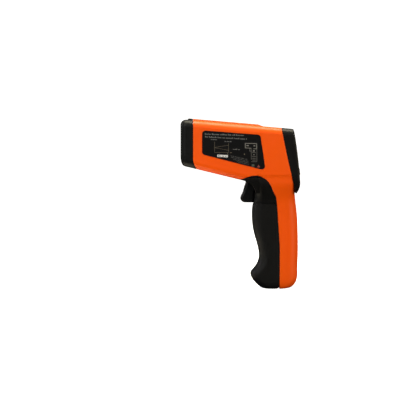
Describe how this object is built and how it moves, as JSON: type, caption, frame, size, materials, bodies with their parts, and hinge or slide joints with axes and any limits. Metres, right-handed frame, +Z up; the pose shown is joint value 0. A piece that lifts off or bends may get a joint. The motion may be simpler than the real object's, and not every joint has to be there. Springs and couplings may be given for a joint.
{
  "type": "infrared thermometer",
  "caption": "Pistol-shaped infrared thermometer with lens and aiming lasers in its nose, display and keys at the rear, a trigger, and a grip whose front opens as a battery door.",
  "frame": {"origin": "centre of the bounding box in X and Y, on the flat end of the grip", "axes": "+X from the nose towards the display, +Y to the user's right, +Z up from the flat end of the grip to the head"},
  "size_m": [0.1024, 0.0424, 0.146],
  "materials": {
    "orange_shell": "fine moulded texture",
    "black_shell": "fine moulded texture",
    "grip_skin": "fine moulded texture",
    "trigger": "fine moulded texture",
    "steel": "plated",
    "metal_trim": "dark anodised",
    "switch": "moulded",
    "circuit_board": "solder mask",
    "battery_case": "printed can",
    "red_wire": "insulated",
    "black_wire": "insulated",
    "clear_window": "clear",
    "lcd": "reflective display",
    "diffuser": "milky",
    "rubber": "silicone",
    "button": "silicone key",
    "ir_lens": "infrared lens",
    "barrel": "moulded",
    "brass": "turned",
    "label": "printed film"
  },
  "bodies": {
    "housing": {"left_housing": "orange_shell", "right_housing": "orange_shell", "nose_bezel": "black_shell", "rear_bezel": "black_shell", "trigger_surround": "black_shell", "trigger_pin": "steel", "trigger_spring": "steel", "trigger_switch": "switch", "switch_board": "circuit_board", "hinge_pin": "steel", "battery": "battery_case", "battery_terminals": "steel", "battery_snap": "switch", "battery_lead_positive": "red_wire", "battery_lead_negative": "black_wire", "display_window": "clear_window", "lcd_glass": "lcd", "lcd_backlight": "diffuser", "zebra_strips": "rubber", "main_board": "circuit_board", "board_components": "switch", "keypad": "rubber", "aperture_ring": "metal_trim", "ir_lens": "ir_lens", "lens_barrel": "barrel", "thermopile_sensor": "steel", "sensor_board": "circuit_board", "sensor_leads": "black_wire", "upper_laser": "brass", "lower_laser": "brass", "laser_windows": "clear_window", "laser_bracket": "barrel", "laser_leads": "red_wire", "buzzer": "switch", "housing_screws": "steel", "label_left": "label", "label_right": "label"},
    "trigger": {"trigger": "trigger"},
    "battery_door": {"battery_door": "grip_skin"},
    "button_down": {"button_down": "button"},
    "button_mode": {"button_mode": "button"},
    "button_up": {"button_up": "button"}
  },
  "joints": [
    {"name": "trigger_pull", "type": "hinge", "parent": "housing", "child": "trigger", "pos_m": [0.0146, 0, 0.0906], "axis": [0, -1, 0], "range_deg": [0, 8], "stiffness_Nm_per_rad": 0.15, "springref_deg": -8.02},
    {"name": "battery_door", "type": "hinge", "parent": "housing", "child": "battery_door", "pos_m": [0.0302, 0, 0.0031], "axis": [0, -1, 0], "range_deg": [0, 60]},
    {"name": "button_down_press", "type": "slide", "parent": "housing", "child": "button_down", "axis": [-0.9936, 0, -0.1132], "range_m": [0, 0.0008], "stiffness_N_per_m": 1200, "springref_m": -0.0002},
    {"name": "button_mode_press", "type": "slide", "parent": "housing", "child": "button_mode", "axis": [-0.9936, 0, -0.1132], "range_m": [0, 0.0008], "stiffness_N_per_m": 1200, "springref_m": -0.0002},
    {"name": "button_up_press", "type": "slide", "parent": "housing", "child": "button_up", "axis": [-0.9936, 0, -0.1132], "range_m": [0, 0.0008], "stiffness_N_per_m": 1200, "springref_m": -0.0002}
  ]
}
